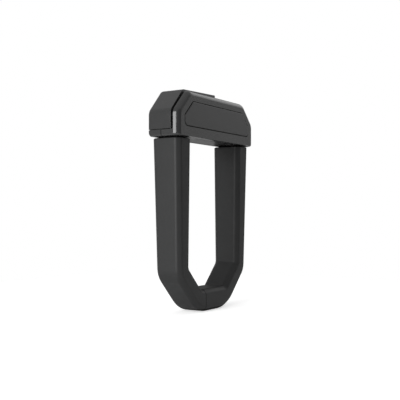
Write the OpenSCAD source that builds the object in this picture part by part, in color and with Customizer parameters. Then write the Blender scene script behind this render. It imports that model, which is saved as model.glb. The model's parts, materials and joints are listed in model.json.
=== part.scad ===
// U lock: a bent, armoured shackle that drops into a block crossbar.
// The shackle stands on its bend. X runs along the crossbar, -Y is the front, +Z is up.
// The model shows the lock closed, with the deadbolts drawn back.

/* [Shackle] */
// Clear width between the legs
inner_w = 92; // [86:1:100]
// Height of the shoulder where the bend meets the outside of a leg
shoulder_z = 37.6; // [34:0.2:44]
// Height of the top of the sleeves
sleeve_top_z = 176; // [170:0.2:176.6]
// Half width over the legs at their tops
leg_outer_top = 70.3; // [69.5:0.1:71]
// Half width over the legs at the shoulder
leg_outer_low = 65.8; // [65:0.1:67]
// Half depth of a leg at its top
half_depth_top = 16.8; // [16:0.1:18]
// Half depth of a leg at the shoulder and round the bend
half_depth_low = 15.4; // [15:0.1:16.5]
// Chamfer along the edges of a leg
leg_chamfer = 4.3; // [3.5:0.1:5]
// Thickness of the rubberised sleeve
sleeve_t = 2.5; // [2:0.1:2.8]
// Where the two sleeve halves meet
seam_x = -18; // [-20:1:-14]
// Width of the steel core bar
core_w = 11; // [9:0.5:11]
// Depth of the steel core bar
core_d = 15; // [12:0.5:16]

/* [Crossbar] */
// Length of the crossbar
bar_len = 151; // [151:1:156]
// Height of the underside of the crossbar
bar_bottom_z = 177; // [177:0.1:177.6]
// Height of the top of the crossbar's front shell
bar_top_z = 223.5; // [223:0.1:226]
// Where the front face lies
bar_front_y = -19.6; // [-20.5:0.1:-19]
// Where the back face lies
bar_back_y = 16.4; // [16.2:0.1:17.4]
// Where the front and rear shells meet
parting_y = -12.1; // [-12.4:0.1:-12]
// Thickness of the plastic shells
shell_t = 2.5; // [2:0.1:2.6]
// Height at which the belt round the ends stops
belt_top_z = 183.4; // [183.2:0.2:187]

/* [Key cover] */
// Where the right end of the key cover lies
cover_end_x = 7; // [5:1:9]
// How far the key cover slides to bare the keyhole
cover_travel = 22; // [20:1:23]

/* [Lock] */
// Where the lock cylinder's axis lies along the crossbar
lock_x = -6; // [-8:1:-5]
// Radius of the circle that the cam's two pins run on
crank_r = 4.5; // [4:0.1:5]
// Radius of a cam pin
cam_pin_r = 1.4; // [1.2:0.1:1.5]
// Radius of the plug
plug_r = 6; // [5.5:0.1:6.2]

/* [Hidden] */

$fn = 48;
big = 400;
// Clearances: between pieces that move apart, between pieces that meet, and in a running fit
gap = 0.3;
hair = 0.1;
run = 0.05;
// How far the corner of a 45 degree bend moves along for each millimetre of offset
bend_k = tan(22.5);
// How much the chamfer of an outline narrows for each millimetre of offset
chamfer_k = 2 - sqrt(2);

// Colours
sleeve_col = [0.16, 0.16, 0.165];
shell_col = [0.18, 0.18, 0.185];
panel_col = [0.2, 0.2, 0.205];
dark_col = [0.06, 0.06, 0.065];
steel_col = [0.62, 0.63, 0.65];
brass_col = [0.78, 0.66, 0.36];
composite_col = [0.3, 0.3, 0.31];

// Outline of the shackle: the corners of its outer and inner edges, left of the middle
inner_top = inner_w / 2;
inner_low = inner_top + 0.6;
bend_foot_x = 28.2;
inner_shoulder_z = 47.5;
inner_foot_x = 22.5;
inner_foot_z = 23.4;
bend_r_top = 22;
bend_r_low = 40;
inner_r = 4;
arc_steps = 8;
sleeve_end = 0.9;
armour_top_z = sleeve_top_z - 3;
armour_split_z = 52;

// Centre line of the steel core
core_x = 56.5;
core_bend_z = 42.5;
core_foot_x = 25.3;
core_mid_z = 11.7;

// Feet and sockets
foot_top_z = 203;
foot_lead = 1;
buffer_t = 1.5;
buffer_size = [9, 12];
foot_gap = 0.4;
collar_x = [49.5, 66.8];
collar_hd = 12.3;
collar_z = [armour_top_z + hair, 181.9];
collar_chamfer = 2.5;
mouth_gap = 0.3;
seal_w = 0.6;
notch_depth = 6.2;

// Crossbar levels
half_len = bar_len / 2;
chamfer_z = 202;
chamfer_x = half_len - 21.3;
corner_r = 10;
corner_steps = 6;
belt_corner_r = 2.5;
rim_inset = 5.6;
rim_bottom = 0.8;
rim_steps = 7;
front_wall = shell_t + 1.2;
back_r = 3;
back_edge = 1.5;
edge_step = 22.5;
base_z = [bar_bottom_z + 0.3, 182.1];
seal_z = [180, 181.9];
frame_x = 68;
belt_x = frame_x + 1.2;
shell_inset = 5.3;
frame_hd = 11.5;
frame_z = [182.2, 215];
channel_x = core_x + 1.5;
channel_gap = 0.15;
belt_end_y = 0.5;
belt_depth = 4.5;
seam_gap = 0.4;
skin = 0.02;
below = -20;

// Armour plates in front of and behind the frame
plate_half = [62, 51];
plate_z = [frame_z[0], 203, 213];
front_plate_t = 2;
rear_plate_t = 1.4;

// Rivets through the base plate, and screws through the front shell
rivet_x = 34;
rivet_y = 9.8;
rivet_r = 1;
rivet_head_r = 2;
rivet_head_t = 1;
rivet_depth = 8;
screw_x = 40;
screw_z = [196.5, 208.5];
screw_r = 1.45;
screw_len = 14;
screw_head_r = 2.8;
screw_head_t = 1.2;

// Front panel
panel_z = [187.9, 211.9];
panel_half = [63.2, 49.3];
panel_shoulder_z = 198;
panel_t = 1.5;
panel_proud = 0.6;
panel_gap = 0.35;
panel_r = [4, 2.5];

// Key cover
cover_t = 3;
cover_under_z = 221.5;
cover_left_z = 224.9;
cover_right_z = 227;
cover_chamfer_x = 54.2;
cover_corner_r = 5;
cover_seat_x = 50;
rail_y = [-5.5, 9.5];
rail_w = 2;
rail_len = 10;
rail_x = -24.5;
rail_head = 1.2;
rail_z = [215.6, 217];
keyhole_seal_r = [9.6, 11];
keyhole_seal_t = 1.6;

// Bolts and cam
bolt_z = [184, 192];
bolt_hw = 8;
bolt_tip_x = 50.4;
half_turn = 45;
crank_x = crank_r * sin(half_turn);
slot_side = 0.25;
slot_y = [crank_r * cos(half_turn) - cam_pin_r - 0.2, crank_r + cam_pin_r + 0.2];
finger_y = 0.4;
finger_end = crank_x + cam_pin_r + 2.6;
shoulder_gap = finger_end + 0.5;
cam_r = 7.5;
cam_z = [192.6, 196.6];
cylinder_r = 9;
cylinder_z = [197, 220.9];
cylinder_pin_r = 1.5;
cylinder_pin_z = 208;
cylinder_pin_len = 2 * frame_hd - 2;
plug_z = [196.6, 220.9];
keyway_w = 2.6;
keyway_half = 3.6;
keyway_depth = 6;
disc_r = 4.7;
disc_t = 1.8;
disc_count = 8;
disc_z = 201;
disc_pitch = 2;
disc_stack = disc_count * disc_pitch;
sidebar_w = 1.4;
sidebar_x = [disc_r - 0.5, plug_r - 0.15];
clip_z = [198.2, 199.4];
clip_depth = 1.2;
clip_r = plug_r + 1.1;

// ---- shared shapes ----

// Points of an arc of radius r that rounds the corner b between a and c
function corner_arc(a, b, c, r, n) =
    let (u = (a - b) / norm(a - b), v = (c - b) / norm(c - b))
    let (half = acos(u * v) / 2, reach = r / tan(half))
    let (m = (u + v) / norm(u + v), o = b + m * r / sin(half))
    let (s = b + u * reach - o, e = b + v * reach - o)
    let (sweep = 180 - 2 * half, turn = s.x * e.y - s.y * e.x > 0 ? 1 : -1)
    [for (i = [0:n]) let (t = turn * sweep * i / n)
        o + [s.x * cos(t) - s.y * sin(t), s.x * sin(t) + s.y * cos(t)]];

// Closed outline with a radius at each corner
function rounded(p, r, n) =
    [for (i = [0:len(p) - 1]) let (k = len(p))
        each r[i] > 0 ? corner_arc(p[(i + k - 1) % k], p[i], p[(i + 1) % k], r[i], n) : [p[i]]];

function flip_x(p) = [for (i = [len(p) - 1:-1:0]) [-p[i].x, p[i].y]];

// Half depth of the shackle's section at a height
function half_depth(z) =
    z < inner_shoulder_z ? half_depth_low
    : half_depth_low
      + (half_depth_top - half_depth_low) * (z - inner_shoulder_z) / (sleeve_top_z - inner_shoulder_z);

// Bends of the shackle's outer and inner edges, left half, moved t into the bar
function outer_line(t) =
    let (top = [-(leg_outer_top - t), sleeve_top_z])
    let (shoulder = [-(leg_outer_low - t), shoulder_z + t * bend_k])
    let (foot = [-(bend_foot_x - t * bend_k), t], middle = [0, t])
    concat(corner_arc(top, shoulder, foot, bend_r_top - t, arc_steps),
           corner_arc(shoulder, foot, middle, bend_r_low - t, arc_steps));
function inner_line(t) =
    let (top = [-(inner_top + t), sleeve_top_z])
    let (shoulder = [-(inner_low + t), inner_shoulder_z - t * bend_k])
    let (foot = [-(inner_foot_x + t * bend_k), inner_foot_z - t], middle = [0, inner_foot_z - t])
    concat(corner_arc(top, shoulder, foot, inner_r + t, arc_steps),
           corner_arc(shoulder, foot, middle, inner_r + t, arc_steps));

// Where the outside of a leg lies at a height
function leg_outer(z) =
    leg_outer_top + (leg_outer_top - leg_outer_low) * (z - sleeve_top_z) / (sleeve_top_z - shoulder_z);

// A whole edge from the left top round to the right top: s pulls in its last millimetre
function whole_edge(line, x, z_top, s) =
    let (left = concat([[-x - s, z_top], [-x, z_top - 1]], line))
    concat(left, flip_x(left));
function outer_edge(t, z_top, s) = whole_edge(outer_line(t), leg_outer(z_top) - t, z_top, -s);
function inner_edge(t, z_top, s) = whole_edge(inner_line(t), inner_top + t, z_top, s);

// The shackle's bar with its chamfered section, t inside the sleeve's surface
module u_bar(t, z_top, end = 0) {
    c = leg_chamfer - t * chamfer_k;
    outer = outer_edge(t, z_top, end);
    front_outer = outer_edge(t + c, z_top, end);
    front_inner = inner_edge(t + c, z_top, end);
    inner = inner_edge(t, z_top, end);
    n = len(outer);
    points = [for (i = [0:n - 1])
        let (s = i == 0 || i == n - 1 ? end : 0, h = half_depth(max(outer[i].y, inner[i].y)) - t - s)
        let (a = outer[i], b = front_outer[i], d = front_inner[i], e = inner[i])
        each [[a.x, c - h, a.y], [b.x, -h, b.y], [d.x, -h, d.y], [e.x, c - h, e.y],
              [e.x, h - c, e.y], [d.x, h, d.y], [b.x, h, b.y], [a.x, h - c, a.y]]];
    sides = [for (i = [0:n - 2], k = [0:7]) let (m = (k + 1) % 8)
        each [[i * 8 + k, (i + 1) * 8 + m, (i + 1) * 8 + k], [i * 8 + k, i * 8 + m, (i + 1) * 8 + m]]];
    caps = [[for (k = [7:-1:0]) k], [for (k = [0:7]) (n - 1) * 8 + k]];
    polyhedron(points, concat(sides, caps), convexity = 6);
}

// Outline of the crossbar from the front: t is the inset of its sides and top, b of its bottom
function bar_outline(t, b) =
    let (k = t * bend_k, r = corner_r - t * 0.3)
    rounded([[-half_len + t, bar_bottom_z + b], [half_len - t, bar_bottom_z + b],
             [half_len - t, chamfer_z - k], [chamfer_x - k, bar_top_z - t],
             [-chamfer_x + k, bar_top_z - t], [-half_len + t, chamfer_z - k]],
            [belt_corner_r, belt_corner_r, r, r, r, r], corner_steps);

// Slab of a shape drawn in X and Z, from y0 to y1
module slab(y0, y1) {
    translate([0, y1, 0]) rotate([90, 0, 0]) linear_extrude(y1 - y0) children();
}

module box(x, y, z) {
    translate([x[0], y[0], z[0]]) cube([x[1] - x[0], y[1] - y[0], z[1] - z[0]]);
}

module post(r, z0, z1) {
    translate([0, 0, z0]) cylinder(r = r, h = z1 - z0);
}

module at_lock() {
    translate([lock_x, 0, 0]) children();
}

module both_sides() {
    children();
    mirror([1, 0, 0]) children();
}

// ---- shackle ----

// The steel core's left half as an outline hw to each side of its centre line
module core_outline(hw, mid_x) {
    k = bend_k * hw;
    polygon([[-core_x - hw, big], [-core_x - hw, core_bend_z - k], [-core_foot_x - k, core_mid_z - hw],
             [mid_x, core_mid_z - hw], [mid_x, core_mid_z + hw], [-core_foot_x + k, core_mid_z + hw],
             [-core_x + hw, core_bend_z + k], [-core_x + hw, big]]);
}

// Outline of a foot's end, narrowed so that it finds its socket
module foot_outline() {
    hw = core_w / 2;
    polygon([[-core_x - hw, -1], [core_x, -1], [core_x, core_bend_z], [-core_x + hw, core_bend_z],
             [-core_x + hw, foot_top_z - 2 * foot_lead], [-core_x + hw - foot_lead, foot_top_z],
             [-core_x - hw + foot_lead, foot_top_z], [-core_x - hw, foot_top_z - 2 * foot_lead]]);
}

module shackle_core() {
    color(steel_col)
    both_sides() difference() {
        slab(-core_d / 2, core_d / 2) intersection() {
            core_outline(core_w / 2, 0.01);
            foot_outline();
        }
        box([-core_x + core_w / 2 - notch_depth, -core_x + big], [-bolt_hw - gap, bolt_hw + gap],
            [bolt_z[0] - gap, bolt_z[1] + gap]);
    }
}

module armour() {
    difference() {
        u_bar(sleeve_t + hair, armour_top_z);
        both_sides() slab(-core_d / 2 - hair, core_d / 2 + hair) core_outline(core_w / 2 + hair, 1);
    }
}

module armour_left() {
    color(composite_col)
    intersection() {
        armour();
        box([-big, 0], [-big, big], [armour_split_z + hair, big]);
    }
}

module armour_right() {
    color(composite_col)
    intersection() {
        armour();
        box([0, big], [-big, big], [armour_split_z + hair, big]);
    }
}

module armour_bottom() {
    color(composite_col)
    intersection() {
        armour();
        box([-big, big], [-big, big], [-big, armour_split_z]);
    }
}

module sleeve() {
    difference() {
        u_bar(0, sleeve_top_z, sleeve_end);
        u_bar(sleeve_t, sleeve_top_z + 4);
    }
}

module sleeve_left() {
    color(sleeve_col)
    intersection() {
        sleeve();
        box([-big, seam_x - hair], [-big, big], [-big, big]);
    }
}

module sleeve_right() {
    color(sleeve_col)
    intersection() {
        sleeve();
        box([seam_x + hair, big], [-big, big], [-big, big]);
    }
}

module collar() {
    c = collar_chamfer;
    difference() {
        translate([0, 0, collar_z[0]]) linear_extrude(collar_z[1] - collar_z[0])
            polygon([[-collar_x[1] + c, -collar_hd], [-collar_x[0] - c, -collar_hd],
                     [-collar_x[0], -collar_hd + c], [-collar_x[0], collar_hd - c],
                     [-collar_x[0] - c, collar_hd], [-collar_x[1] + c, collar_hd],
                     [-collar_x[1], collar_hd - c], [-collar_x[1], -collar_hd + c]]);
        box([-core_x - core_w / 2 - hair, -core_x + core_w / 2 + hair],
            [-core_d / 2 - hair, core_d / 2 + hair], [0, big]);
    }
}

module collar_left() {
    color(dark_col) collar();
}

module collar_right() {
    color(dark_col) mirror([1, 0, 0]) collar();
}

// ---- crossbar ----

module mouth(grow, z0, z1) {
    box([-collar_x[1] - grow, -collar_x[0] + grow], [-collar_hd - grow, collar_hd + grow], [z0, z1]);
}

module base_plate() {
    color(dark_col)
    difference() {
        box([-belt_x + gap, belt_x - gap],
            [parting_y - belt_depth + hair, bar_back_y - shell_t - gap], base_z);
        both_sides() mouth(mouth_gap, 0, big);
        both_sides() mouth(mouth_gap + seal_w + skin, seal_z[0], big);
        rivet_places() rivet(run);
    }
}

module socket_cut(z0, z1) {
    box([-core_x - core_w / 2 - foot_gap, -core_x + core_w / 2 + foot_gap],
        [-core_d / 2 - foot_gap, core_d / 2 + foot_gap], [z0, z1]);
}

module lock_frame() {
    color(steel_col)
    difference() {
        box([-frame_x, frame_x], [-frame_hd, frame_hd], frame_z);
        both_sides() socket_cut(0, foot_top_z + buffer_t);
        box([-channel_x, channel_x], [-bolt_hw - channel_gap, bolt_hw + channel_gap],
            [bolt_z[0] - channel_gap, bolt_z[1] + channel_gap]);
        at_lock() post(cam_r + 0.5, bolt_z[1], cylinder_z[0] + hair);
        at_lock() post(cylinder_r + run, cylinder_z[0] - hair, big);
        at_lock() cylinder_pin_shape(cylinder_pin_r, cylinder_pin_len);
        both_sides() frame_shoulder();
        rivet_places() rivet(run);
        screw_places() panel_screw(run);
    }
}

// The corners of the frame that follow the chamfered ends of the crossbar
module frame_shoulder() {
    inset = (shell_inset + 0.5) * sqrt(2);
    line = half_len + chamfer_z - inset;
    slab(-big, big) polygon([[-frame_x - 1, line - frame_x - 1], [-frame_x - 1, big],
                             [frame_z[1] - line, big], [frame_z[1] - line, frame_z[1]]]);
}

// Pin that keys the lock cylinder to the frame, half in each
module cylinder_pin_shape(r, length) {
    translate([cylinder_r, 0, cylinder_pin_z]) rotate([90, 0, 0]) cylinder(r = r, h = length, center = true);
}

module cylinder_pin() {
    color(steel_col)
    at_lock() cylinder_pin_shape(cylinder_pin_r - run, cylinder_pin_len - 2 * hair);
}

// Thin slice of the crossbar, from which its rounded front and back are blended
module layer(t, b, y) {
    slab(y, y + skin) polygon(bar_outline(t, b));
}

// Rounded front of the crossbar, from the parting line forwards
module bar_front() {
    hull() for (i = [0:rim_steps]) let (a = 90 * i / rim_steps)
        layer(rim_inset * (1 - cos(a)), rim_bottom * (1 - cos(a)),
              parting_y + (bar_front_y - parting_y) * sin(a));
}

// Back of the crossbar: a block with its rear edge rounded, more at the underside
module bar_rear() {
    hull() {
        layer(0, 0, parting_y + seam_gap);
        for (a = [0:edge_step:90])
            layer(back_edge * (1 - cos(a)), back_r * (1 - cos(a)), bar_back_y - skin - back_r * (1 - sin(a)));
    }
}

module screw_places() {
    for (x = [-screw_x, screw_x], z = screw_z)
        translate([x, 0, z]) children();
}

module rivet_places() {
    for (x = [-rivet_x, rivet_x], y = [-rivet_y, rivet_y])
        translate([x, y, 0]) children();
}

// Countersunk rivet up through the base plate into the frame; grow widens it into its own hole
module rivet(grow) {
    translate([0, 0, base_z[0]])
        cylinder(r1 = rivet_head_r + grow, r2 = rivet_r + grow, h = rivet_head_t);
    post(rivet_r + grow, base_z[0] + rivet_head_t - 0.01, frame_z[0] + rivet_depth + grow);
}

// Flat-headed screw from under the panel back into the frame
module panel_screw(grow) {
    translate([0, bar_front_y + panel_t + hair - grow, 0]) rotate([-90, 0, 0]) {
        cylinder(r = screw_head_r + grow, h = screw_head_t + grow);
        cylinder(r = screw_r + grow, h = screw_len + 2 * grow);
    }
}

module panel_outline(grow) {
    k = grow * bend_k;
    polygon(rounded([[-panel_half[0] - grow, panel_z[0] - grow], [panel_half[0] + grow, panel_z[0] - grow],
                     [panel_half[0] + grow, panel_shoulder_z + k], [panel_half[1] + k, panel_z[1] + grow],
                     [-panel_half[1] - k, panel_z[1] + grow], [-panel_half[0] - grow, panel_shoulder_z + k]],
                    [for (i = [0:5]) panel_r[i < 2 ? 0 : 1] + grow], 4));
}

module front_panel() {
    color(panel_col)
    slab(bar_front_y - panel_proud, bar_front_y + panel_t) panel_outline(0);
}

module front_shell() {
    color(shell_col)
    difference() {
        union() {
            bar_front();
            intersection() {
                slab(parting_y, belt_end_y) polygon(bar_outline(0, 0));
                box([-big, big], [-big, big], [0, belt_top_z]);
            }
        }
        // hollow behind the face
        hull() {
            slab(bar_front_y + front_wall, parting_y) polygon(bar_outline(rim_inset + 1.5, skin));
            slab(parting_y - 2.5, parting_y + hair) polygon(bar_outline(shell_t + 0.4, skin));
        }
        box([-belt_x, belt_x], [parting_y - belt_depth, big], [0, belt_top_z + 1]);
        slab(bar_front_y - 1, bar_front_y + panel_t + run) panel_outline(panel_gap);
        screw_places() panel_screw(hair);
    }
}

module panel_screws() {
    color(steel_col)
    screw_places() panel_screw(0);
}

module plate_outline() {
    polygon([[-plate_half[0], plate_z[0]], [plate_half[0], plate_z[0]], [plate_half[0], plate_z[1]],
             [plate_half[1], plate_z[2]], [-plate_half[1], plate_z[2]], [-plate_half[0], plate_z[1]]]);
}

module front_armour_plate() {
    color(composite_col)
    difference() {
        slab(-frame_hd - hair - front_plate_t, -frame_hd - hair) plate_outline();
        screw_places() panel_screw(hair);
    }
}

module rear_armour_plate() {
    color(composite_col)
    slab(frame_hd + hair, frame_hd + hair + rear_plate_t) plate_outline();
}

module rear_shell() {
    color(shell_col)
    difference() {
        bar_rear();
        // hollow
        slab(-big, bar_back_y - shell_t) polygon(bar_outline(shell_inset, below));
        // room for the belt of the front shell
        box([-big, big], [-big, belt_end_y + seam_gap], [0, belt_top_z + seam_gap]);
        // seat of the key cover
        difference() {
            box([-big, cover_end_x + gap], [-big, big], [belt_top_z, big]);
            slab(-big, big) polygon(bar_outline(cover_t + gap, below));
            box([-cover_seat_x, big], [-big, big], [0, cover_under_z - gap]);
        }
        box([-big, cover_end_x + gap], [-big, big], [cover_under_z - gap, big]);
        at_lock() post(cylinder_r + 0.2, frame_z[1], big);
        at_lock() post(keyhole_seal_r[1] + run, cover_under_z - gap + hair - keyhole_seal_t, big);
        for (y = rail_y) rail_slot(y);
    }
}

module rail_slot(y) {
    box([rail_x - rail_len / 2 - cover_travel - 0.5, rail_x + rail_len / 2 + 0.5],
        [y - rail_w / 2 - gap, y + rail_w / 2 + gap], [rail_z[0] - 1, big]);
}

module key_cover() {
    color(shell_col)
    union() {
        difference() {
            intersection() {
                hull() {
                    cover_layer(0, parting_y + seam_gap);
                    for (a = [0:edge_step:90])
                        cover_layer(back_edge * (1 - cos(a)), bar_back_y - skin - back_r * (1 - sin(a)));
                }
                box([-big, cover_end_x], [-big, big], [belt_top_z + seam_gap, big]);
            }
            slab(-big, big) polygon(bar_outline(cover_t, below));
            box([-cover_seat_x - gap, big], [-big, big], [0, cover_under_z]);
        }
        for (y = rail_y) key_rail(y);
    }
}

// Slice of the key cover's outer shape, inset by t
module cover_layer(t, y) {
    k = t * bend_k;
    slab(y, y + skin) polygon(rounded(
        [[-half_len + t, belt_top_z], [cover_end_x + 2, belt_top_z], [cover_end_x + 2, cover_right_z - t],
         [-cover_chamfer_x + k, cover_left_z - t], [-half_len + t, chamfer_z - k]],
        [0, 0, 0, cover_corner_r, corner_r - t * 0.3], corner_steps));
}

// T-shaped rail under the key cover
module key_rail(y) {
    x = [rail_x - rail_len / 2, rail_x + rail_len / 2];
    hw = rail_w / 2;
    box(x, [y - hw, y + hw], [rail_z[1], cover_under_z + 1]);
    box(x, [y - hw - rail_head, y + hw + rail_head], rail_z);
}

module keyhole_seal() {
    color(dark_col)
    at_lock() difference() {
        post(keyhole_seal_r[1], cover_under_z - gap + hair - keyhole_seal_t, cover_under_z - gap + hair);
        post(keyhole_seal_r[0], 0, big);
    }
}

module foot_seal() {
    difference() {
        mouth(mouth_gap + seal_w, seal_z[0], seal_z[1]);
        mouth(mouth_gap, 0, big);
    }
}

module foot_seal_left() {
    color(dark_col) foot_seal();
}

module foot_seal_right() {
    color(dark_col) mirror([1, 0, 0]) foot_seal();
}

module foot_buffer() {
    box([-core_x - buffer_size[0] / 2, -core_x + buffer_size[0] / 2],
        [-buffer_size[1] / 2, buffer_size[1] / 2], [foot_top_z, foot_top_z + buffer_t]);
}

module foot_buffer_left() {
    color(dark_col) foot_buffer();
}

module foot_buffer_right() {
    color(dark_col) mirror([1, 0, 0]) foot_buffer();
}

module base_rivets() {
    color(dark_col)
    rivet_places() rivet(0);
}

// ---- lock ----

module lock_cylinder() {
    color(brass_col)
    at_lock() difference() {
        post(cylinder_r, cylinder_z[0], cylinder_z[1]);
        post(plug_r + run, 0, big);
        post(clip_r + 0.2, 0, clip_z[1] + hair);
        cylinder_pin_shape(cylinder_pin_r, cylinder_pin_len);
    }
}

module lock_plug() {
    color(brass_col)
    at_lock() difference() {
        post(plug_r, plug_z[0], plug_z[1]);
        post(disc_r + run, disc_z - 0.4, disc_z + disc_stack);
        keyway(keyway_half, plug_z[1] - keyway_depth, big);
        // slot of the sidebar
        box([disc_r - 0.4, big], [-sidebar_w / 2 - hair, sidebar_w / 2 + hair],
            [disc_z, disc_z + disc_stack - 0.4]);
        // groove of the clip
        difference() {
            post(plug_r + 1, clip_z[0] - hair, clip_z[1] + hair);
            post(plug_r - clip_depth, 0, big);
        }
    }
}

module keyway(half, z0, z1) {
    box([-keyway_w / 2, keyway_w / 2], [-half, half], [z0, z1]);
}

module lock_discs() {
    color(steel_col)
    at_lock() for (i = [0:disc_count - 1])
        translate([0, 0, disc_z + i * disc_pitch]) difference() {
            post(disc_r, 0, disc_t);
            keyway(keyway_half - 0.6, -1, big);
            box([disc_r - 0.7, big], [-sidebar_w / 2 - 0.2, sidebar_w / 2 + 0.2], [-1, big]);
        }
}

module sidebar() {
    color(steel_col)
    at_lock() box(sidebar_x, [-sidebar_w / 2, sidebar_w / 2], [disc_z + hair, disc_z + disc_stack - 0.5]);
}

module plug_clip() {
    color(steel_col)
    at_lock() difference() {
        post(clip_r, clip_z[0], clip_z[1]);
        post(plug_r - clip_depth + run, 0, big);
        box([-1.5, 1.5], [0, big], [0, big]);
    }
}

module drive_cam() {
    color(steel_col)
    at_lock() {
        post(cam_r, cam_z[0], cam_z[1]);
        for (s = [-1, 1])
            rotate([0, 0, -half_turn]) translate([0, s * crank_r, 0])
                post(cam_pin_r, bolt_z[0] + 0.8, cam_z[0] + hair);
    }
}

// Deadbolt that runs towards -X, in the lock's own X, with its finger on the +Y side
module deadbolt(tip) {
    difference() {
        union() {
            box([tip, -shoulder_gap], [-bolt_hw, bolt_hw], bolt_z);
            box([-shoulder_gap - 1, finger_end], [finger_y, bolt_hw], bolt_z);
        }
        box([crank_x - cam_pin_r - slot_side, crank_x + cam_pin_r + slot_side], slot_y, [0, big]);
    }
}

module deadbolt_left() {
    color(steel_col)
    at_lock() deadbolt(-bolt_tip_x - lock_x);
}

module deadbolt_right() {
    color(steel_col)
    at_lock() rotate([0, 0, 180]) deadbolt(-bolt_tip_x + lock_x);
}

shackle_core();
armour_left();
armour_bottom();
armour_right();
sleeve_left();
sleeve_right();
collar_left();
collar_right();
base_plate();
lock_frame();
front_shell();
front_panel();
rear_shell();
front_armour_plate();
rear_armour_plate();
foot_seal_left();
foot_seal_right();
foot_buffer_left();
foot_buffer_right();
panel_screws();
base_rivets();
lock_cylinder();
cylinder_pin();
keyhole_seal();
lock_plug();
lock_discs();
sidebar();
plug_clip();
drive_cam();
deadbolt_left();
deadbolt_right();
key_cover();
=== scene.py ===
"""U lock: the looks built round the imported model, in the model's own frame.

The shells and sleeves are drawn here in millimetres with finer curves than the design's, then
scaled to metres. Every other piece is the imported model's own, with a small bevel and a material.
"""

import json
import math

import bmesh
import bpy
from mathutils import Matrix, Vector


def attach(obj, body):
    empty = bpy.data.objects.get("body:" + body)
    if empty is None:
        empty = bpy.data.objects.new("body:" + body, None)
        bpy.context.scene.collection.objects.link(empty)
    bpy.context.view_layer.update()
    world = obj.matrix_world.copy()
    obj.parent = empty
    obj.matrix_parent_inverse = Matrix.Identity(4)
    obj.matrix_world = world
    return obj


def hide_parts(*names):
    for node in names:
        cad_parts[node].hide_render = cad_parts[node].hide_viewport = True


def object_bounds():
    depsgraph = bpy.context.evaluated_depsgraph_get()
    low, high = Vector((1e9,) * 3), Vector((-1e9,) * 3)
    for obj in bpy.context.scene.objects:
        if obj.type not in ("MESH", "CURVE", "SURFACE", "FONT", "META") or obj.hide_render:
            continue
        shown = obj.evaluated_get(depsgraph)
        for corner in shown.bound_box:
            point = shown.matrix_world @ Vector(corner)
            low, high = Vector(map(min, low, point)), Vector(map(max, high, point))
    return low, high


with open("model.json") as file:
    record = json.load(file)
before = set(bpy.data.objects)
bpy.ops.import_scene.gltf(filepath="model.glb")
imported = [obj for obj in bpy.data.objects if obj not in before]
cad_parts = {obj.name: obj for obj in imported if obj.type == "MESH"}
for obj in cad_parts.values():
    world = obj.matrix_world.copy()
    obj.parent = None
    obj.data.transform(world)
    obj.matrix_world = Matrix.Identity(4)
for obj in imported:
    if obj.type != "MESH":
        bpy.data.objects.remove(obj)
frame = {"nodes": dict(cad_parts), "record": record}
CAD_BOX = [list(corner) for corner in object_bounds()]
scene = bpy.context.scene

# ---- camera ----

# Place in metres, direction it looks in, lens and sensor in millimetres, shift in sensor widths
CAMERA_PLACE = (-0.6443, -0.4075, 0.1015)
CAMERA_LOOK = (0.8452, 0.5345, 0.0)
CAMERA_LENS = 64.5
SENSOR_WIDTH = 36
CAMERA_SHIFT = (-0.0075, 0.0335)


def make_camera():
    data = bpy.data.cameras.new("camera")
    data.lens = CAMERA_LENS
    data.sensor_width = SENSOR_WIDTH
    data.shift_x, data.shift_y = CAMERA_SHIFT
    camera = bpy.data.objects.new("camera", data)
    camera.location = CAMERA_PLACE
    camera.rotation_euler = Vector(CAMERA_LOOK).to_track_quat("-Z", "Y").to_euler()
    scene.collection.objects.link(camera)
    scene.camera = camera


make_camera()

# ---- light ----

WHITE = (1, 1, 1, 1)
LOCK_MIDDLE = (0, 0, 0.12)
# Name, place, size and power of each soft light, all turned to the lock's middle
SOFT_LIGHTS = [
    ("left_softbox", (-1.3, 0.0, 0.36), (0.9, 1.0), 15.3),
    ("right_softbox", (0.95, -0.95, 0.35), (0.9, 0.9), 0.25),
    ("top_softbox", (1.15, -0.2, 0.9), (1.0, 0.9), 2.4),
    ("back_softbox", (0.0, 0.7, 1.2), (1.1, 1.1), 0.2),
]
WORLD_SEEN = 1.0
WORLD_LIGHT = 0.42
# Darker fields of the surroundings: direction, cosines where each fades, share of light left in it
DARK_FIELDS = [
    ((-0.2, -0.98, 0.0), (0.45, 0.8), 0.35),
    ((0.83, 0.53, 0.18), (0.9, 0.98), 0.6),
]


def add_softbox(name, place, size, power):
    data = bpy.data.lights.new(name, "AREA")
    data.shape = "RECTANGLE"
    data.size, data.size_y = size
    data.energy = power
    light = bpy.data.objects.new(name, data)
    light.location = place
    light.rotation_euler = (Vector(LOCK_MIDDLE) - Vector(place)).to_track_quat("-Z", "Y").to_euler()
    scene.collection.objects.link(light)


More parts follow.
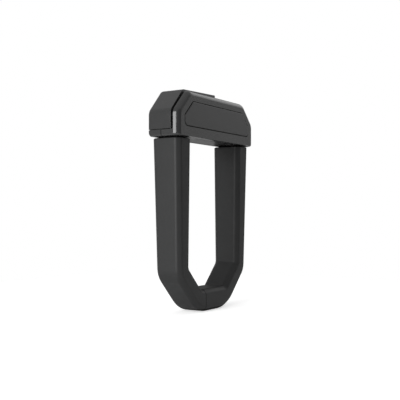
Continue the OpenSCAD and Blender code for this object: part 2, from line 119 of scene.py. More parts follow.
def make_world():
    """Surroundings that the camera sees white and that light the lock less than they look."""
    world = bpy.data.worlds.new("studio")
    world.use_nodes = True
    nodes, links = world.node_tree.nodes, world.node_tree.links
    dim = nodes["Background"]
    dim.inputs["Color"].default_value = WHITE
    around = nodes.new("ShaderNodeTexCoord")
    strength = None
    for direction, edges, share in DARK_FIELDS:
        side = nodes.new("ShaderNodeVectorMath")
        side.operation = "DOT_PRODUCT"
        side.inputs[1].default_value = direction
        links.new(around.outputs["Generated"], side.inputs[0])
        fade = nodes.new("ShaderNodeMapRange")
        fade.interpolation_type = "SMOOTHSTEP"
        for key, value in zip(("From Min", "From Max", "To Min", "To Max"), (*edges, 1.0, share)):
            fade.inputs[key].default_value = value
        links.new(side.outputs["Value"], fade.inputs["Value"])
        both = nodes.new("ShaderNodeMath")
        both.operation = "MULTIPLY"
        both.inputs[1].default_value = WORLD_LIGHT
        links.new(fade.outputs["Result"], both.inputs[0])
        if strength is not None:
            links.new(strength, both.inputs[1])
        strength = both.outputs[0]
    links.new(strength, dim.inputs["Strength"])
    seen = nodes.new("ShaderNodeBackground")
    seen.inputs["Color"].default_value = WHITE
    seen.inputs["Strength"].default_value = WORLD_SEEN
    path = nodes.new("ShaderNodeLightPath")
    mix = nodes.new("ShaderNodeMixShader")
    links.new(path.outputs["Is Camera Ray"], mix.inputs[0])
    links.new(dim.outputs[0], mix.inputs[1])
    links.new(seen.outputs[0], mix.inputs[2])
    links.new(mix.outputs[0], nodes["World Output"].inputs["Surface"])
    scene.world = world


for row in SOFT_LIGHTS:
    add_softbox(*row)
make_world()
scene.view_settings.view_transform = "Standard"

# ---- floor ----

FLOOR_HALF = 0.4
FLOOR_DROP = 0.0001
FLOOR_COLOUR = (0.93, 0.93, 0.93, 1)
# Glow on the lock and glow to the camera: it looks white without glare on the lock
FLOOR_GLOW = (0.05, 0.58)


def make_floor():
    material = bpy.data.materials.new("floor")
    material.use_nodes = True
    shader = material.node_tree.nodes["Principled BSDF"]
    shader.inputs["Base Color"].default_value = FLOOR_COLOUR
    shader.inputs["Roughness"].default_value = 1.0
    shader.inputs["Specular IOR Level"].default_value = 0.0
    shader.inputs["Emission Color"].default_value = WHITE
    nodes, links = material.node_tree.nodes, material.node_tree.links
    path, glow = nodes.new("ShaderNodeLightPath"), nodes.new("ShaderNodeMapRange")
    glow.inputs["To Min"].default_value, glow.inputs["To Max"].default_value = FLOOR_GLOW
    links.new(path.outputs["Is Camera Ray"], glow.inputs["Value"])
    links.new(glow.outputs["Result"], shader.inputs["Emission Strength"])
    level = CAD_BOX[0][2] - FLOOR_DROP
    corners = [(x * FLOOR_HALF, y * FLOOR_HALF, level) for x, y in ((-1, -1), (1, -1), (1, 1), (-1, 1))]
    mesh = bpy.data.meshes.new("floor")
    mesh.from_pydata(corners, [], [(0, 1, 2, 3)])
    mesh.materials.append(material)
    floor = bpy.data.objects.new("floor", mesh)
    scene.collection.objects.link(floor)


make_floor()

# ---- materials ----

# Cosines of the turn over which an edge's wear fades, and openness over which the painted shade in a
# seam fades
WORN_TURN = (0.86, 0.995)
DARK_OPENING = (0.3, 0.85)
# Reach in metres of wear at edges and of painted shade in seams, and the share of the colour left under
# a seam's painted shade
WEAR_REACH, METAL_WEAR_REACH = 0.0009, 0.0006
SEAM_REACH, METAL_SEAM_REACH = 0.004, 0.0012
SEAM_SHADE_SHARE, METAL_SEAM_SHADE_SHARE = 0.2, 0.12
SEAM_ROUGHER, WORN_SMOOTHER = 0.5, -0.06
MOULDED_WARMTH = -0.01
METAL_WEAR = 1.25


class Sheet:
    """A material's node tree, with a short way to add and join nodes."""

    def __init__(self, name):
        self.material = bpy.data.materials.new(name)
        self.material.use_nodes = True
        self.nodes = self.material.node_tree.nodes
        self.links = self.material.node_tree.links
        self.shader = self.nodes["Principled BSDF"]
        self.place = self.add("ShaderNodeTexCoord").outputs["Object"]

    def add(self, kind, **settings):
        node = self.nodes.new(kind)
        for key, value in settings.items():
            setattr(node, key, value)
        return node

    def join(self, source, target):
        self.links.new(source, target)

    def noise(self, size, detail, stretch=(1, 1, 1)):
        """Noise whose blobs are about size metres across."""
        mapping = self.add("ShaderNodeMapping")
        mapping.inputs["Scale"].default_value = stretch
        self.join(self.place, mapping.inputs["Vector"])
        node = self.add("ShaderNodeTexNoise")
        node.inputs["Scale"].default_value = 1 / size
        node.inputs["Detail"].default_value = detail
        self.join(mapping.outputs[0], node.inputs["Vector"])
        return node.outputs["Fac"]

    def pebbles(self, size):
        """Rounded grains about size metres across, 0 at their middles."""
        node = self.add("ShaderNodeTexVoronoi", feature="SMOOTH_F1")
        node.inputs["Scale"].default_value = 1 / size
        node.inputs["Smoothness"].default_value = 0.6
        self.join(self.place, node.inputs["Vector"])
        return node.outputs["Distance"]

    def spread(self, source, low, high, start=0.3, end=0.7):
        """Goes from low to high while the source goes from start to end."""
        node = self.add("ShaderNodeMapRange")
        for key, value in (("From Min", start), ("From Max", end), ("To Min", low), ("To Max", high)):
            node.inputs[key].default_value = value
        self.join(source, node.inputs["Value"])
        return node.outputs["Result"]

    def times(self, a, b):
        node = self.add("ShaderNodeMath", operation="MULTIPLY")
        self.join(a, node.inputs[0])
        self.join(b, node.inputs[1])
        return node.outputs[0]

    def plus(self, a, b, share):
        """a and a share of b."""
        node = self.add("ShaderNodeMath", operation="MULTIPLY_ADD")
        self.join(b, node.inputs[0])
        node.inputs[1].default_value = share
        self.join(a, node.inputs[2])
        return node.outputs[0]

    def edges(self, radius):
        """Rises towards 1 where the surface turns within radius: the worn edges."""
        bevel = self.add("ShaderNodeBevel", samples=4)
        bevel.inputs["Radius"].default_value = radius
        flat = self.add("ShaderNodeNewGeometry")
        dot = self.add("ShaderNodeVectorMath", operation="DOT_PRODUCT")
        self.join(bevel.outputs[0], dot.inputs[0])
        self.join(flat.outputs["Normal"], dot.inputs[1])
        return self.spread(dot.outputs["Value"], 1, 0, *WORN_TURN)

    def wear(self, reach, patch, detail, least):
        """Edge wear in patches about patch metres across, where the weakest has the share least."""
        return self.times(self.edges(reach), self.spread(self.noise(patch, detail), least, 1.0))

    def seams(self, reach):
        """Rises towards 1 where the surface is hemmed in within reach: seams and grooves. It masks the
        painted shade laid in them.
        """
        around = self.add("ShaderNodeAmbientOcclusion", samples=8)
        around.inputs["Distance"].default_value = reach
        return self.spread(around.outputs["AO"], 1, 0, *DARK_OPENING)

    def tint(self, factor, low, high):
        """Colour that goes from low to high with the factor."""
        node = self.add("ShaderNodeMix", data_type="RGBA")
        self.join(factor, node.inputs[0])
        node.inputs[6].default_value = (*low, 1)
        node.inputs[7].default_value = (*high, 1)
        return node.outputs[2]

    def over(self, factor, under, colour):
        """A plain colour laid over another by the factor."""
        node = self.add("ShaderNodeMix", data_type="RGBA")
        self.join(factor, node.inputs[0])
        self.join(under, node.inputs[6])
        node.inputs[7].default_value = (*colour, 1)
        return node.outputs[2]

    def bump(self, height, depth, under=None):
        node = self.add("ShaderNodeBump")
        node.inputs["Strength"].default_value = 1.0
        node.inputs["Distance"].default_value = depth
        self.join(height, node.inputs["Height"])
        if under is not None:
            self.join(under, node.inputs["Normal"])
        return node.outputs[0]


def grey(level, warmth=0.0):
    return (level * (1 + warmth), level, level * (1 - warmth))


def moulded(name, level, rough, grain, depth, pebbled, wear, gloss=0.5):
    """Moulded rubber or plastic: a grained skin, slightly mottled, that polishes at its edges, with
    painted shade in its seams and grooves.

    Level is its grey, wear what an edge's grey is multiplied by; grain and depth are in metres.
    """
    sheet = Sheet(name)
    broad = sheet.noise(0.022, 3)
    fine = sheet.noise(grain, 2)
    skin = sheet.pebbles(grain * 1.6) if pebbled else fine
    worn = sheet.wear(WEAR_REACH, 0.004, 3, 0.25)
    dark, light, rubbed = (grey(level * share, MOULDED_WARMTH) for share in (0.9, 1.1, wear))
    worn_base = sheet.over(worn, sheet.tint(sheet.plus(broad, fine, 0.35), dark, light), rubbed)
    # Painted shade: seams and grooves darkened towards a fifth of the grey by an occlusion mask, and
    # made rougher there
    painted_shade = sheet.seams(SEAM_REACH)
    colour = sheet.over(painted_shade, worn_base, grey(level * SEAM_SHADE_SHARE))
    sheet.join(colour, sheet.shader.inputs["Base Color"])
    mottled = sheet.spread(sheet.noise(0.006, 2), rough - 0.02, rough + 0.03)
    rough_in_seams = sheet.plus(sheet.plus(mottled, worn, WORN_SMOOTHER), painted_shade, SEAM_ROUGHER)
    sheet.join(rough_in_seams, sheet.shader.inputs["Roughness"])
    sheet.shader.inputs["Specular IOR Level"].default_value = gloss
    sheet.join(sheet.bump(skin, depth), sheet.shader.inputs["Normal"])
    return sheet.material


def metal(name, colour, dark, rough, brushed):
    """Ground or turned metal: fine lines, a faint stain, brighter edges and painted shade in its seams.
    """
    sheet = Sheet(name)
    lines = sheet.noise(0.0005, 1, stretch=brushed)
    stain = sheet.noise(0.009, 2)
    worn = sheet.wear(METAL_WEAR_REACH, 0.003, 2, 0.3)
    base = sheet.tint(sheet.plus(stain, lines, 0.15), dark, colour)
    bright = tuple(min(1.0, c * METAL_WEAR) for c in colour)
    # Painted shade: seams darkened by an occlusion mask towards a small share of the darker colour
    shade_colour = tuple(c * METAL_SEAM_SHADE_SHARE for c in dark)
    painted_shade = sheet.seams(METAL_SEAM_REACH)
    finished = sheet.over(painted_shade, sheet.over(worn, base, bright), shade_colour)
    sheet.join(finished, sheet.shader.inputs["Base Color"])
    sheet.join(sheet.spread(lines, rough - 0.03, rough + 0.05), sheet.shader.inputs["Roughness"])
    sheet.join(sheet.bump(lines, 0.000004), sheet.shader.inputs["Normal"])
    sheet.shader.inputs["Metallic"].default_value = 1.0
    return sheet.material


def cast(name, level, rough):
    """Cast composite: a sandy skin with small pits."""
    sheet = Sheet(name)
    sand = sheet.noise(0.0007, 4)
    pits = sheet.pebbles(0.0025)
    broad = sheet.noise(0.012, 3)
    worn = sheet.wear(WEAR_REACH, 0.004, 2, 0.3)
    base = sheet.tint(sheet.plus(broad, sand, 0.4), grey(level * 0.75), grey(level * 1.2))
    sheet.join(sheet.over(worn, base, grey(level * 1.6)), sheet.shader.inputs["Base Color"])
    sheet.join(sheet.spread(sand, rough - 0.08, rough + 0.08), sheet.shader.inputs["Roughness"])
    sheet.join(sheet.bump(pits, 0.00008, sheet.bump(sand, 0.00005)), sheet.shader.inputs["Normal"])
    sheet.shader.inputs["Metallic"].default_value = 0.6
    return sheet.material


# Stretch of a metal's ground lines
ALONG_X, ALONG_Z = (0.08, 1, 1), (1, 1, 0.08)
# moulded: grey, roughness, grain's size and depth, pebbled or not, edge wear, gloss
# cast: grey, roughness; metal: colour, darker colour, roughness, direction of its lines
MATERIALS = {
    "sleeve_rubber": moulded("sleeve_rubber", 0.0275, 0.46, 0.0007, 0.00003, True, 1.05, 0.27),
    "shell_plastic": moulded("shell_plastic", 0.027, 0.18, 0.0004, 0.000006, False, 1.25, 0.75),
    "panel_plastic": moulded("panel_plastic", 0.030, 0.30, 0.0004, 0.00001, False, 1.25, 0.65),
    # collar_black: a grey darker than the other black parts, partly its own black and partly painted
    # shade for the collars in the gap under the crossbar
    "collar_black": moulded("collar_black", 0.006, 0.6, 0.0004, 0.00002, False, 1.5, 0.15),
    "seal_rubber": moulded("seal_rubber", 0.010, 0.7, 0.0005, 0.00003, True, 1.3),
    "base_black": moulded("base_black", 0.020, 0.32, 0.0005, 0.00001, False, 2.2),
    "armour_composite": cast("armour_composite", 0.20, 0.55),
    "hard_steel": metal("hard_steel", (0.60, 0.61, 0.63), (0.42, 0.42, 0.44), 0.30, ALONG_X),
    "brass": metal("brass", (0.80, 0.66, 0.36), (0.62, 0.48, 0.22), 0.28, ALONG_Z),
}

# ---- mesh tools ----

MM = 0.001
# Points closer than this, in millimetres, are one point
WELD = 0.002
# Width in millimetres and least angle in degrees of each kind of bevel
SLEEVE_BEVEL, SHELL_BEVEL, PANEL_BEVEL = (0.35, 50), (0.25, 32), (0.1, 60)
FINE_BEVEL, NODE_BEVEL = (0.08, 32), (0.3, 32)
CYLINDER_STEPS, SCREW_STEPS = 64, 32


def arc(a, b, c, r, steps):
    """Points of an arc of radius r that rounds the corner b between a and c."""
    a, b, c = Vector(a), Vector(b), Vector(c)
    u, v = (a - b).normalized(), (c - b).normalized()
    half = math.acos(max(-1.0, min(1.0, u.dot(v)))) / 2
    centre = b + (u + v).normalized() * (r / math.sin(half))
    start = b + u * (r / math.tan(half)) - centre
    end = b + v * (r / math.tan(half)) - centre
    turn = math.copysign(math.pi - 2 * half, start.x * end.y - start.y * end.x)
    return [centre + Matrix.Rotation(turn * i / steps, 2) @ start for i in range(steps + 1)]


def rounded(points, radii, steps):
    """Closed outline with a radius at each corner."""
    out = []
    for i, (point, r) in enumerate(zip(points, radii)):
        if r > 0:
            out += arc(points[i - 1], point, points[(i + 1) % len(points)], r, steps)
        else:
            out.append(Vector(point))
    return out


def quarter(steps):
    """(1 - cos, sin) at each step of a quarter turn."""
    angles = [math.pi / 2 * i / steps for i in range(steps + 1)]
    return [(1 - math.cos(a), math.sin(a)) for a in angles]


def loft(rings, capped=True):
    """Mesh through rings of the same number of points."""
    mesh = bmesh.new()
    rows = [[mesh.verts.new(point) for point in ring] for ring in rings]
    for low, high in zip(rows, rows[1:]):
        for i in range(len(low)):
            j = (i + 1) % len(low)
            mesh.faces.new((low[i], low[j], high[j], high[i]))
    if capped:
        mesh.faces.new(rows[0])
        mesh.faces.new(rows[-1])
    bmesh.ops.recalc_face_normals(mesh, faces=mesh.faces)
    return mesh


def as_object(mesh, name):
    data = bpy.data.meshes.new(name)
    mesh.to_mesh(data)
    mesh.free()
    piece = bpy.data.objects.new(name, data)
    scene.collection.objects.link(piece)
    return piece


def slab(outline, y0, y1):
    """Solid of an outline drawn in X and Z, from y0 to y1."""
    return as_object(loft([[(p.x, y, p.y) for p in outline] for y in (y0, y1)]), "tool")


def block(x, y, z):
    corners = [Vector((x[i], z[j])) for i, j in ((0, 0), (1, 0), (1, 1), (0, 1))]
    return slab(corners, y[0], y[1])


def round_outline(x, z, r, steps):
    turns = [2 * math.pi * i / steps for i in range(steps)]
    return [Vector((x + r * math.cos(turn), z + r * math.sin(turn))) for turn in turns]


def upright(x, r, z0, z1):
    """Upright cylinder at x, on the middle plane of the shackle."""
    circle = round_outline(x, 0, r, CYLINDER_STEPS)
    return as_object(loft([[(cx, cy, z) for cx, cy in circle] for z in (z0, z1)]), "tool")


def combine(piece, tool, operation):
    """Cuts, joins or intersects a piece with a tool, which is used up."""
    modifier = piece.modifiers.new("combine", "BOOLEAN")
    modifier.operation = operation
    modifier.solver = "EXACT"
    modifier.object = tool
    ready = piece.evaluated_get(bpy.context.evaluated_depsgraph_get())
    data = bpy.data.meshes.new_from_object(ready)
    piece.modifiers.clear()
    piece.data = data
    bpy.data.objects.remove(tool)


def soften(piece, width, angle, welded=False):
    """Small bevels on the sharp edges, with normals that keep the faces flat."""
    if welded:
        weld = piece.modifiers.new("weld", "WELD")
        weld.merge_threshold = WELD * MM
    bevel = piece.modifiers.new("bevel", "BEVEL")
    bevel.width = width * MM
    bevel.segments = 2
    bevel.limit_method = "ANGLE"
    bevel.angle_limit = math.radians(angle)
    bevel.use_clamp_overlap = True
    bevel.miter_outer = "MITER_ARC"
    normals = piece.modifiers.new("normals", "WEIGHTED_NORMAL")
    normals.keep_sharp = True


def finish_piece(piece, node, slot, bevel):
    """Tidies a drawn piece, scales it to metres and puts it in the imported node's place."""
    mesh = bmesh.new()
    mesh.from_mesh(piece.data)
    bmesh.ops.remove_doubles(mesh, verts=mesh.verts, dist=WELD)
    bmesh.ops.dissolve_degenerate(mesh, edges=mesh.edges, dist=WELD)
    bmesh.ops.recalc_face_normals(mesh, faces=mesh.faces)
    mesh.to_mesh(piece.data)
    mesh.free()
    piece.data.transform(Matrix.Scale(MM, 4))
    piece.name = node + "_look"
    piece.data.materials.clear()
    piece.data.materials.append(MATERIALS[slot])
    for face in piece.data.polygons:
        face.use_smooth = True
    soften(piece, *bevel)
    body = next(b for b, members in frame["record"]["behaviour"]["bodies"].items() if node in members)
    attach(piece, body)
    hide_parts(node)


# ---- sleeves ----

# The outer and inner faces of the legs, from the middle, at their tops and at the bend
LEG_OUTER_TOP, LEG_OUTER_LOW = 70.3, 65.8
LEG_INNER_TOP, LEG_INNER_LOW = 46.0, 46.6
SLEEVE_TOP_Z = 176
# The slanted stretch between a leg and the flat bottom: its two ends, outside and inside
SHOULDER_Z, INNER_SHOULDER_Z = 37.6, 47.5
BEND_FOOT_X, INNER_FOOT_X, INNER_FOOT_Z = 28.2, 22.5, 23.4
BEND_R_TOP, BEND_R_LOW, INNER_R = 22, 40, 4
HALF_DEPTH_TOP, HALF_DEPTH_LOW = 16.8, 15.4
LEG_CHAMFER = 4.3
EDGE_R = 4
SLEEVE_T = 2.5
SLEEVE_END_R = 0.9
# The seam between the two sleeves
SEAM_X = -18
SEAM_HALF_GAP = 0.3
BEND_STEPS, EDGE_STEPS, END_STEPS = 20, 3, 4
BEND_K = math.tan(math.pi / 8)
CHAMFER_K = 2 - math.sqrt(2)


def outer_bends(t):
    top, middle = (-(LEG_OUTER_TOP - t), SLEEVE_TOP_Z), (0, t)
    shoulder = (-(LEG_OUTER_LOW - t), SHOULDER_Z + t * BEND_K)
    foot = (-(BEND_FOOT_X - t * BEND_K), t)
    return (arc(top, shoulder, foot, BEND_R_TOP - t, BEND_STEPS)
            + arc(shoulder, foot, middle, BEND_R_LOW - t, BEND_STEPS))


def inner_bends(t):
    top, middle = (-(LEG_INNER_TOP + t), SLEEVE_TOP_Z), (0, INNER_FOOT_Z - t)
    shoulder = (-(LEG_INNER_LOW + t), INNER_SHOULDER_Z - t * BEND_K)
    foot = (-(INNER_FOOT_X + t * BEND_K), INNER_FOOT_Z - t)
    return (arc(top, shoulder, foot, INNER_R + t, BEND_STEPS)
            + arc(shoulder, foot, middle, INNER_R + t, BEND_STEPS))


def leg_end(t, inner):
    """Points of an edge's rounded top, each with how far the whole section is drawn in there."""
    rows = []
    for _, rise in reversed(quarter(END_STEPS)):
        inset = SLEEVE_END_R * (1 - math.sqrt(max(0.0, 1 - rise * rise)))
        z = SLEEVE_TOP_Z - SLEEVE_END_R * (1 - rise)
        if inner:
            x = LEG_INNER_TOP + t + inset
        else:
            slope = (LEG_OUTER_TOP - LEG_OUTER_LOW) / (SLEEVE_TOP_Z - SHOULDER_Z)
            x = LEG_OUTER_TOP + (z - SLEEVE_TOP_Z) * slope - t - inset
        rows.append((Vector((-x, z)), inset))
    return rows


def whole_edge(t, inner):
    """An edge of the U from the left top to the right top, with its drawn-in amounts."""
    bends = inner_bends(t) if inner else outer_bends(t)
    left = leg_end(t, inner) + [(p, 0.0) for p in bends]
    return left + [(Vector((-p.x, p.y)), s) for p, s in reversed(left)]


def half_depth(z):
    rise = max(0.0, z - INNER_SHOULDER_Z) / (SLEEVE_TOP_Z - INNER_SHOULDER_Z)
    return HALF_DEPTH_LOW + (HALF_DEPTH_TOP - HALF_DEPTH_LOW) * rise


def section_quarter(chamfer):
    """A quarter of the section, from the middle of a face round the chamfer to the middle of a side."""
    beyond = chamfer + 5 * EDGE_R
    first = arc((beyond, 0), (chamfer, 0), (0, chamfer), EDGE_R, EDGE_STEPS)
    second = arc((chamfer, 0), (0, chamfer), (0, beyond), EDGE_R, EDGE_STEPS)
    return first + second


def bar_rings(t):
    """Rings of the shackle's bar, t inside the sleeve's surface, from the left top to the right top."""
    profile = section_quarter(LEG_CHAMFER - t * CHAMFER_K)
    edges = {(inner, i): whole_edge(t + p.x, inner)
             for inner in (False, True) for i, p in enumerate(profile)}
    last = len(profile) - 1
    order = ([(False, i, -1) for i in range(last + 1)] + [(False, last - i, 1) for i in range(last + 1)]
             + [(True, i, 1) for i in range(last + 1)] + [(True, last - i, -1) for i in range(last + 1)])
    rings = []
    for k in range(len(edges[(False, 0)])):
        ring = []
        top = max(edges[(False, last)][k][0].y, edges[(True, last)][k][0].y)
        for inner, i, side in order:
            point, inset = edges[(inner, i)][k]
            ring.append((point.x, side * (half_depth(top) - t - inset - profile[i].y), point.y))
        rings.append(ring)
    return rings


def trim_at_seam(mesh, keep_left):
    """Keeps one side of the seam."""
    x = SEAM_X + (-SEAM_HALF_GAP if keep_left else SEAM_HALF_GAP)
    geometry = mesh.verts[:] + mesh.edges[:] + mesh.faces[:]
    bmesh.ops.bisect_plane(mesh, geom=geometry, plane_co=(x, 0, 0), plane_no=(1, 0, 0),
                           clear_outer=keep_left, clear_inner=not keep_left)


def make_sleeve(node, keep_left):
    """One half of the thin rubberised sleeve, with its rounded top and its end at the seam."""
    mesh = loft(bar_rings(0), capped=False)
    trim_at_seam(mesh, keep_left)
    wall = loft(bar_rings(SLEEVE_T), capped=False)
    trim_at_seam(wall, keep_left)
    bmesh.ops.reverse_faces(wall, faces=wall.faces)
    data = bpy.data.meshes.new("wall")
    wall.to_mesh(data)
    wall.free()
    mesh.from_mesh(data)
    rims = [edge for edge in mesh.edges if edge.is_boundary]
    tops = [edge for edge in rims if min(v.co.z for v in edge.verts) > SLEEVE_TOP_Z - 2 * SLEEVE_T]
    seams = [edge for edge in rims if edge not in set(tops)]
    bmesh.ops.bridge_loops(mesh, edges=tops)
    bmesh.ops.bridge_loops(mesh, edges=seams)
    bmesh.ops.recalc_face_normals(mesh, faces=mesh.faces)
    finish_piece(as_object(mesh, node), node, "sleeve_rubber", SLEEVE_BEVEL)


make_sleeve("sleeve_left", True)
make_sleeve("sleeve_right", False)

# ---- crossbar shells ----

HALF_LEN = 75.5
BAR_BOTTOM_Z, BAR_TOP_Z = 177, 223.5
FRONT_Y, BACK_Y, PARTING_Y = -19.6, 16.4, -12.1
CHAMFER_Z, CHAMFER_X = 202, HALF_LEN - 21.3
CORNER_R, BELT_CORNER_R = 10, 2.5
RIM_INSET, RIM_BOTTOM = 5.6, 0.8
BACK_R, BACK_EDGE = 3.0, 1.5
SHELL_T = 2.5
SHELL_INSET = 5.3
BELT_TOP_Z, BELT_END_Y, BELT_X, BELT_DEPTH = 183.4, 0.5, 69.2, 4.5
SEAM_GAP = 0.4
COVER_EDGE_R = 0.2
SEAM_SHOW = 0.3
RIM_SHOW = 1.1
RIM_START = 1.4
GAP = 0.3
CORNER_STEPS = 12
RIM_STEPS = 20
# How much a corner's radius shrinks for each millimetre of inset
CORNER_SHRINK = 0.3
# Reach of the cutting shapes, and an outline's bottom inset that takes it far below the crossbar
FAR = 400
BELOW = -20
# Overlap of shapes that are joined, or cut from each other, and a cut's reach past a face
LAP = 0.1
PAST = 1
# The front shell's hollow: added to the rim's inset and to the wall at its front, added to the wall at
# its sides, where its sides start to run straight before the parting, and its bottom's inset
HOLLOW_INSET, HOLLOW_DEPTH = 1.5, 1.2
HOLLOW_SIDE, HOLLOW_SIDE_START = 0.4, 2.5
HOLLOW_BOTTOM = 0.02


def bar_outline(t, b):
    """Outline of the crossbar from the front: t insets its sides and top, b its bottom."""
    k, r = t * BEND_K, CORNER_R - t * CORNER_SHRINK
    corners = [(-HALF_LEN + t, BAR_BOTTOM_Z + b), (HALF_LEN - t, BAR_BOTTOM_Z + b),
               (HALF_LEN - t, CHAMFER_Z - k), (CHAMFER_X - k, BAR_TOP_Z - t),
               (-CHAMFER_X + k, BAR_TOP_Z - t), (-HALF_LEN + t, CHAMFER_Z - k)]
    return rounded(corners, [BELT_CORNER_R, BELT_CORNER_R, r, r, r, r], CORNER_STEPS)


def ring_at(outline, y):
    return [(p.x, y, p.y) for p in outline]


PANEL_HALF = (63.2, 49.3)
PANEL_Z = (187.9, 198.0, 211.9)
PANEL_T = 1.5
PANEL_PROUD = 0.6
PANEL_GAP = 0.9
PANEL_R = (4.0, 2.5)
PANEL_EDGE = 0.45
PANEL_EDGE_STEPS = 4
PANEL_PLAY = 0.05


def panel_outline(grow):
    """Outline of the front panel, grown all round."""
    k = grow * BEND_K
    wide, narrow = PANEL_HALF[0] + grow, PANEL_HALF[1] + k
    low, shoulder, top = PANEL_Z[0] - grow, PANEL_Z[1] + k, PANEL_Z[2] + grow
    corners = [(-wide, low), (wide, low), (wide, shoulder),
               (narrow, top), (-narrow, top), (-wide, shoulder)]
    radii = [PANEL_R[0 if i < 2 else 1] + grow for i in range(6)]
    return rounded(corners, radii, CORNER_STEPS)


SCREW_X, SCREW_Z = 40, (196.5, 208.5)
SCREW_HEAD_R, SCREW_R = 2.9, 1.55
SCREW_HEAD_DEPTH, SCREW_DEPTH = 1.35, 6


def screw_hole(x, z, r, depth):
    """Round hole from the floor of the panel's pocket."""
    start = FRONT_Y + PANEL_T
    return slab(round_outline(x, z, r, SCREW_STEPS), start, start + depth)


def make_front_shell():
    """Rounded front of the crossbar with its belt round both ends and the pocket of its panel."""
    depth = PARTING_Y - FRONT_Y
    rings = [ring_at(bar_outline(0, 0), PARTING_Y - RIM_START)]
    rings += [ring_at(bar_outline(RIM_INSET * back, RIM_BOTTOM * back), PARTING_Y - depth * out)
              for back, out in quarter(RIM_STEPS) if depth * out > RIM_START + LAP]
    piece = as_object(loft(rings), "front_shell")
    belt = slab(bar_outline(0, 0), PARTING_Y - RIM_START - LAP, BELT_END_Y)
    combine(belt, block((-FAR, FAR), (-FAR, FAR), (0, BELT_TOP_Z)), "INTERSECT")
    combine(piece, belt, "UNION")
    narrow = bar_outline(RIM_INSET + HOLLOW_INSET, HOLLOW_BOTTOM)
    wide = bar_outline(SHELL_T + HOLLOW_SIDE, HOLLOW_BOTTOM)
    hollow = [ring_at(narrow, FRONT_Y + SHELL_T + HOLLOW_DEPTH),
              ring_at(wide, PARTING_Y - HOLLOW_SIDE_START),
              ring_at(wide, PARTING_Y + LAP)]
    combine(piece, as_object(loft(hollow), "tool"), "DIFFERENCE")
    under = block((-BELT_X, BELT_X), (PARTING_Y - BELT_DEPTH, FAR), (0, BELT_TOP_Z + PAST))
    combine(piece, under, "DIFFERENCE")
    pocket = slab(panel_outline(PANEL_GAP), FRONT_Y - PAST, FRONT_Y + PANEL_T + PANEL_PLAY)
    combine(piece, pocket, "DIFFERENCE")
    for x in (-SCREW_X, SCREW_X):
        for z in SCREW_Z:
            combine(piece, screw_hole(x, z, SCREW_HEAD_R, SCREW_HEAD_DEPTH), "DIFFERENCE")
            combine(piece, screw_hole(x, z, SCREW_R, SCREW_DEPTH), "DIFFERENCE")
    finish_piece(piece, "front_shell", "shell_plastic", SHELL_BEVEL)


def make_front_panel():
    """Inlaid panel with softly rounded edges."""
    rings = [ring_at(panel_outline(0), FRONT_Y + PANEL_T)]
    rings += [ring_at(panel_outline(-PANEL_EDGE * back), FRONT_Y - PANEL_PROUD + PANEL_EDGE * (1 - out))
              for back, out in quarter(PANEL_EDGE_STEPS)]
    finish_piece(as_object(loft(rings), "front_panel"), "front_panel", "panel_plastic", PANEL_BEVEL)


COVER_END_X, COVER_T, COVER_UNDER_Z = 7, 3, 221.5
COVER_LEFT_Z, COVER_RIGHT_Z = 224.9, 227
COVER_CHAMFER_X, COVER_CORNER_R, COVER_SEAT_X = 54.2, 5, 50
RAIL_X, RAIL_LEN, RAIL_W, RAIL_HEAD = -24.5, 10, 2, 1.2
RAIL_Y, RAIL_Z = (-5.5, 9.5), (215.6, 217)
COVER_TRAVEL = 22
LOCK_X = -6
CYLINDER_R = 9
FRAME_TOP_Z = 215
SEAL_R, SEAL_T, SEAL_PROUD = 11.0, 1.6, 0.1
FRONT_EDGE_STEPS, BACK_EDGE_STEPS = 3, 10
BORE_PLAY, SEAL_PLAY, RAIL_END_PLAY, RAIL_LAP = 0.2, 0.05, 0.5, 0.5


def back_rings(outline):
    """Rings from the parting to the back, rounded at both edges.

    The outline is given the share of the back edge's inset at its sides and at its bottom.
    """
    front = PARTING_Y + SEAM_GAP + RIM_SHOW
    rings = [ring_at(outline(COVER_EDGE_R * back / BACK_EDGE, 0), front + COVER_EDGE_R * (1 - out))
             for back, out in reversed(quarter(FRONT_EDGE_STEPS))]
    rings += [ring_at(outline(back, back), BACK_Y - BACK_R * (1 - out))
              for back, out in quarter(BACK_EDGE_STEPS)]
    return rings


def make_rear_shell():
    """Back of the crossbar, stepped down at the left for the sliding key cover."""
    rings = back_rings(lambda side, low: bar_outline(BACK_EDGE * side, BACK_R * low))
    piece = as_object(loft(rings), "rear_shell")
    combine(piece, slab(bar_outline(SHELL_INSET, BELOW), -FAR, BACK_Y - SHELL_T), "DIFFERENCE")
    show = SEAM_GAP + SEAM_SHOW
    room = block((-FAR, FAR), (-FAR, BELT_END_Y + show), (0, BELT_TOP_Z + show))
    combine(piece, room, "DIFFERENCE")
    seat = block((-FAR, COVER_END_X + GAP), (-FAR, FAR), (BELT_TOP_Z, FAR))
    combine(seat, slab(bar_outline(COVER_T + GAP, BELOW), -FAR - PAST, FAR + PAST), "DIFFERENCE")
    past = FAR + 2 * PAST
    kept = block((-COVER_SEAT_X, FAR + PAST), (-past, past), (0, COVER_UNDER_Z - GAP))
    combine(seat, kept, "DIFFERENCE")
    combine(piece, seat, "DIFFERENCE")
    top = block((-FAR, COVER_END_X + GAP), (-FAR, FAR), (COVER_UNDER_Z - GAP, FAR))
    combine(piece, top, "DIFFERENCE")
    combine(piece, upright(LOCK_X, CYLINDER_R + BORE_PLAY, FRAME_TOP_Z, FAR), "DIFFERENCE")
    seal_low = COVER_UNDER_Z - GAP + SEAL_PROUD - SEAL_T
    combine(piece, upright(LOCK_X, SEAL_R + SEAL_PLAY, seal_low, FAR), "DIFFERENCE")
    for y in RAIL_Y:
        x = (RAIL_X - RAIL_LEN / 2 - COVER_TRAVEL - RAIL_END_PLAY, RAIL_X + RAIL_LEN / 2 + RAIL_END_PLAY)
        side = RAIL_W / 2 + GAP
        combine(piece, block(x, (y - side, y + side), (RAIL_Z[0] - PAST, FAR)), "DIFFERENCE")
    finish_piece(piece, "rear_shell", "shell_plastic", SHELL_BEVEL)


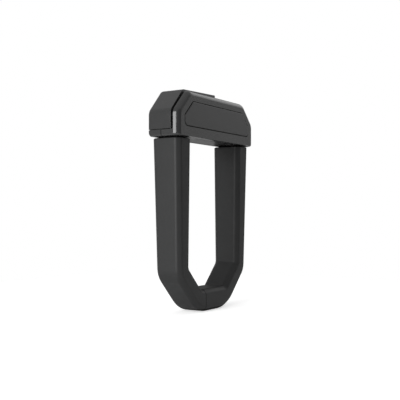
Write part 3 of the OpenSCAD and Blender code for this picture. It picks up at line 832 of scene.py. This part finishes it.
def cover_outline(t):
    """Outer outline of the key cover, inset by t, drawn past the places where it is cut."""
    k = t * BEND_K
    right = COVER_END_X + 2 * PAST
    corners = [(-HALF_LEN + t, BELT_TOP_Z), (right, BELT_TOP_Z), (right, COVER_RIGHT_Z - t),
               (-COVER_CHAMFER_X + k, COVER_LEFT_Z - t), (-HALF_LEN + t, CHAMFER_Z - k)]
    return rounded(corners, [0, 0, 0, COVER_CORNER_R, CORNER_R - t * CORNER_SHRINK], CORNER_STEPS)


def make_key_cover():
    """Sliding cover that wraps the left end and runs along the top over the keyhole."""
    piece = as_object(loft(back_rings(lambda side, low: cover_outline(BACK_EDGE * side))), "key_cover")
    keep = block((-FAR, COVER_END_X), (-FAR, FAR), (BELT_TOP_Z + SEAM_GAP + SEAM_SHOW, FAR))
    combine(piece, keep, "INTERSECT")
    combine(piece, slab(bar_outline(COVER_T, BELOW), -FAR, FAR), "DIFFERENCE")
    combine(piece, block((-COVER_SEAT_X - GAP, FAR), (-FAR, FAR), (0, COVER_UNDER_Z)), "DIFFERENCE")
    for y in RAIL_Y:
        x = (RAIL_X - RAIL_LEN / 2, RAIL_X + RAIL_LEN / 2)
        half = RAIL_W / 2
        stem = block(x, (y - half, y + half), (RAIL_Z[1] - RAIL_LAP, COVER_UNDER_Z + RAIL_LAP))
        head = block(x, (y - half - RAIL_HEAD, y + half + RAIL_HEAD), RAIL_Z)
        combine(piece, stem, "UNION")
        combine(piece, head, "UNION")
    finish_piece(piece, "key_cover", "shell_plastic", SHELL_BEVEL)


make_front_shell()
make_front_panel()
make_rear_shell()
make_key_cover()

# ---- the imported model's own pieces ----

DRAWN_HERE = {"sleeve_left", "sleeve_right", "front_shell", "front_panel", "rear_shell", "key_cover"}
FINE_NODES = {"foot_seal_left", "foot_seal_right", "panel_screws", "base_rivets", "sidebar", "plug_clip",
              "lock_discs", "keyhole_seal"}


def dress_nodes():
    """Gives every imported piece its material, and bevels those that are not drawn above."""
    for row in frame["record"]["subparts"]:
        node = row["node"]
        piece = frame["nodes"][node]
        piece.data.materials.clear()
        piece.data.materials.append(MATERIALS[row["material_slot"]])
        if node not in DRAWN_HERE:
            soften(piece, *(FINE_BEVEL if node in FINE_NODES else NODE_BEVEL), welded=True)


dress_nodes()
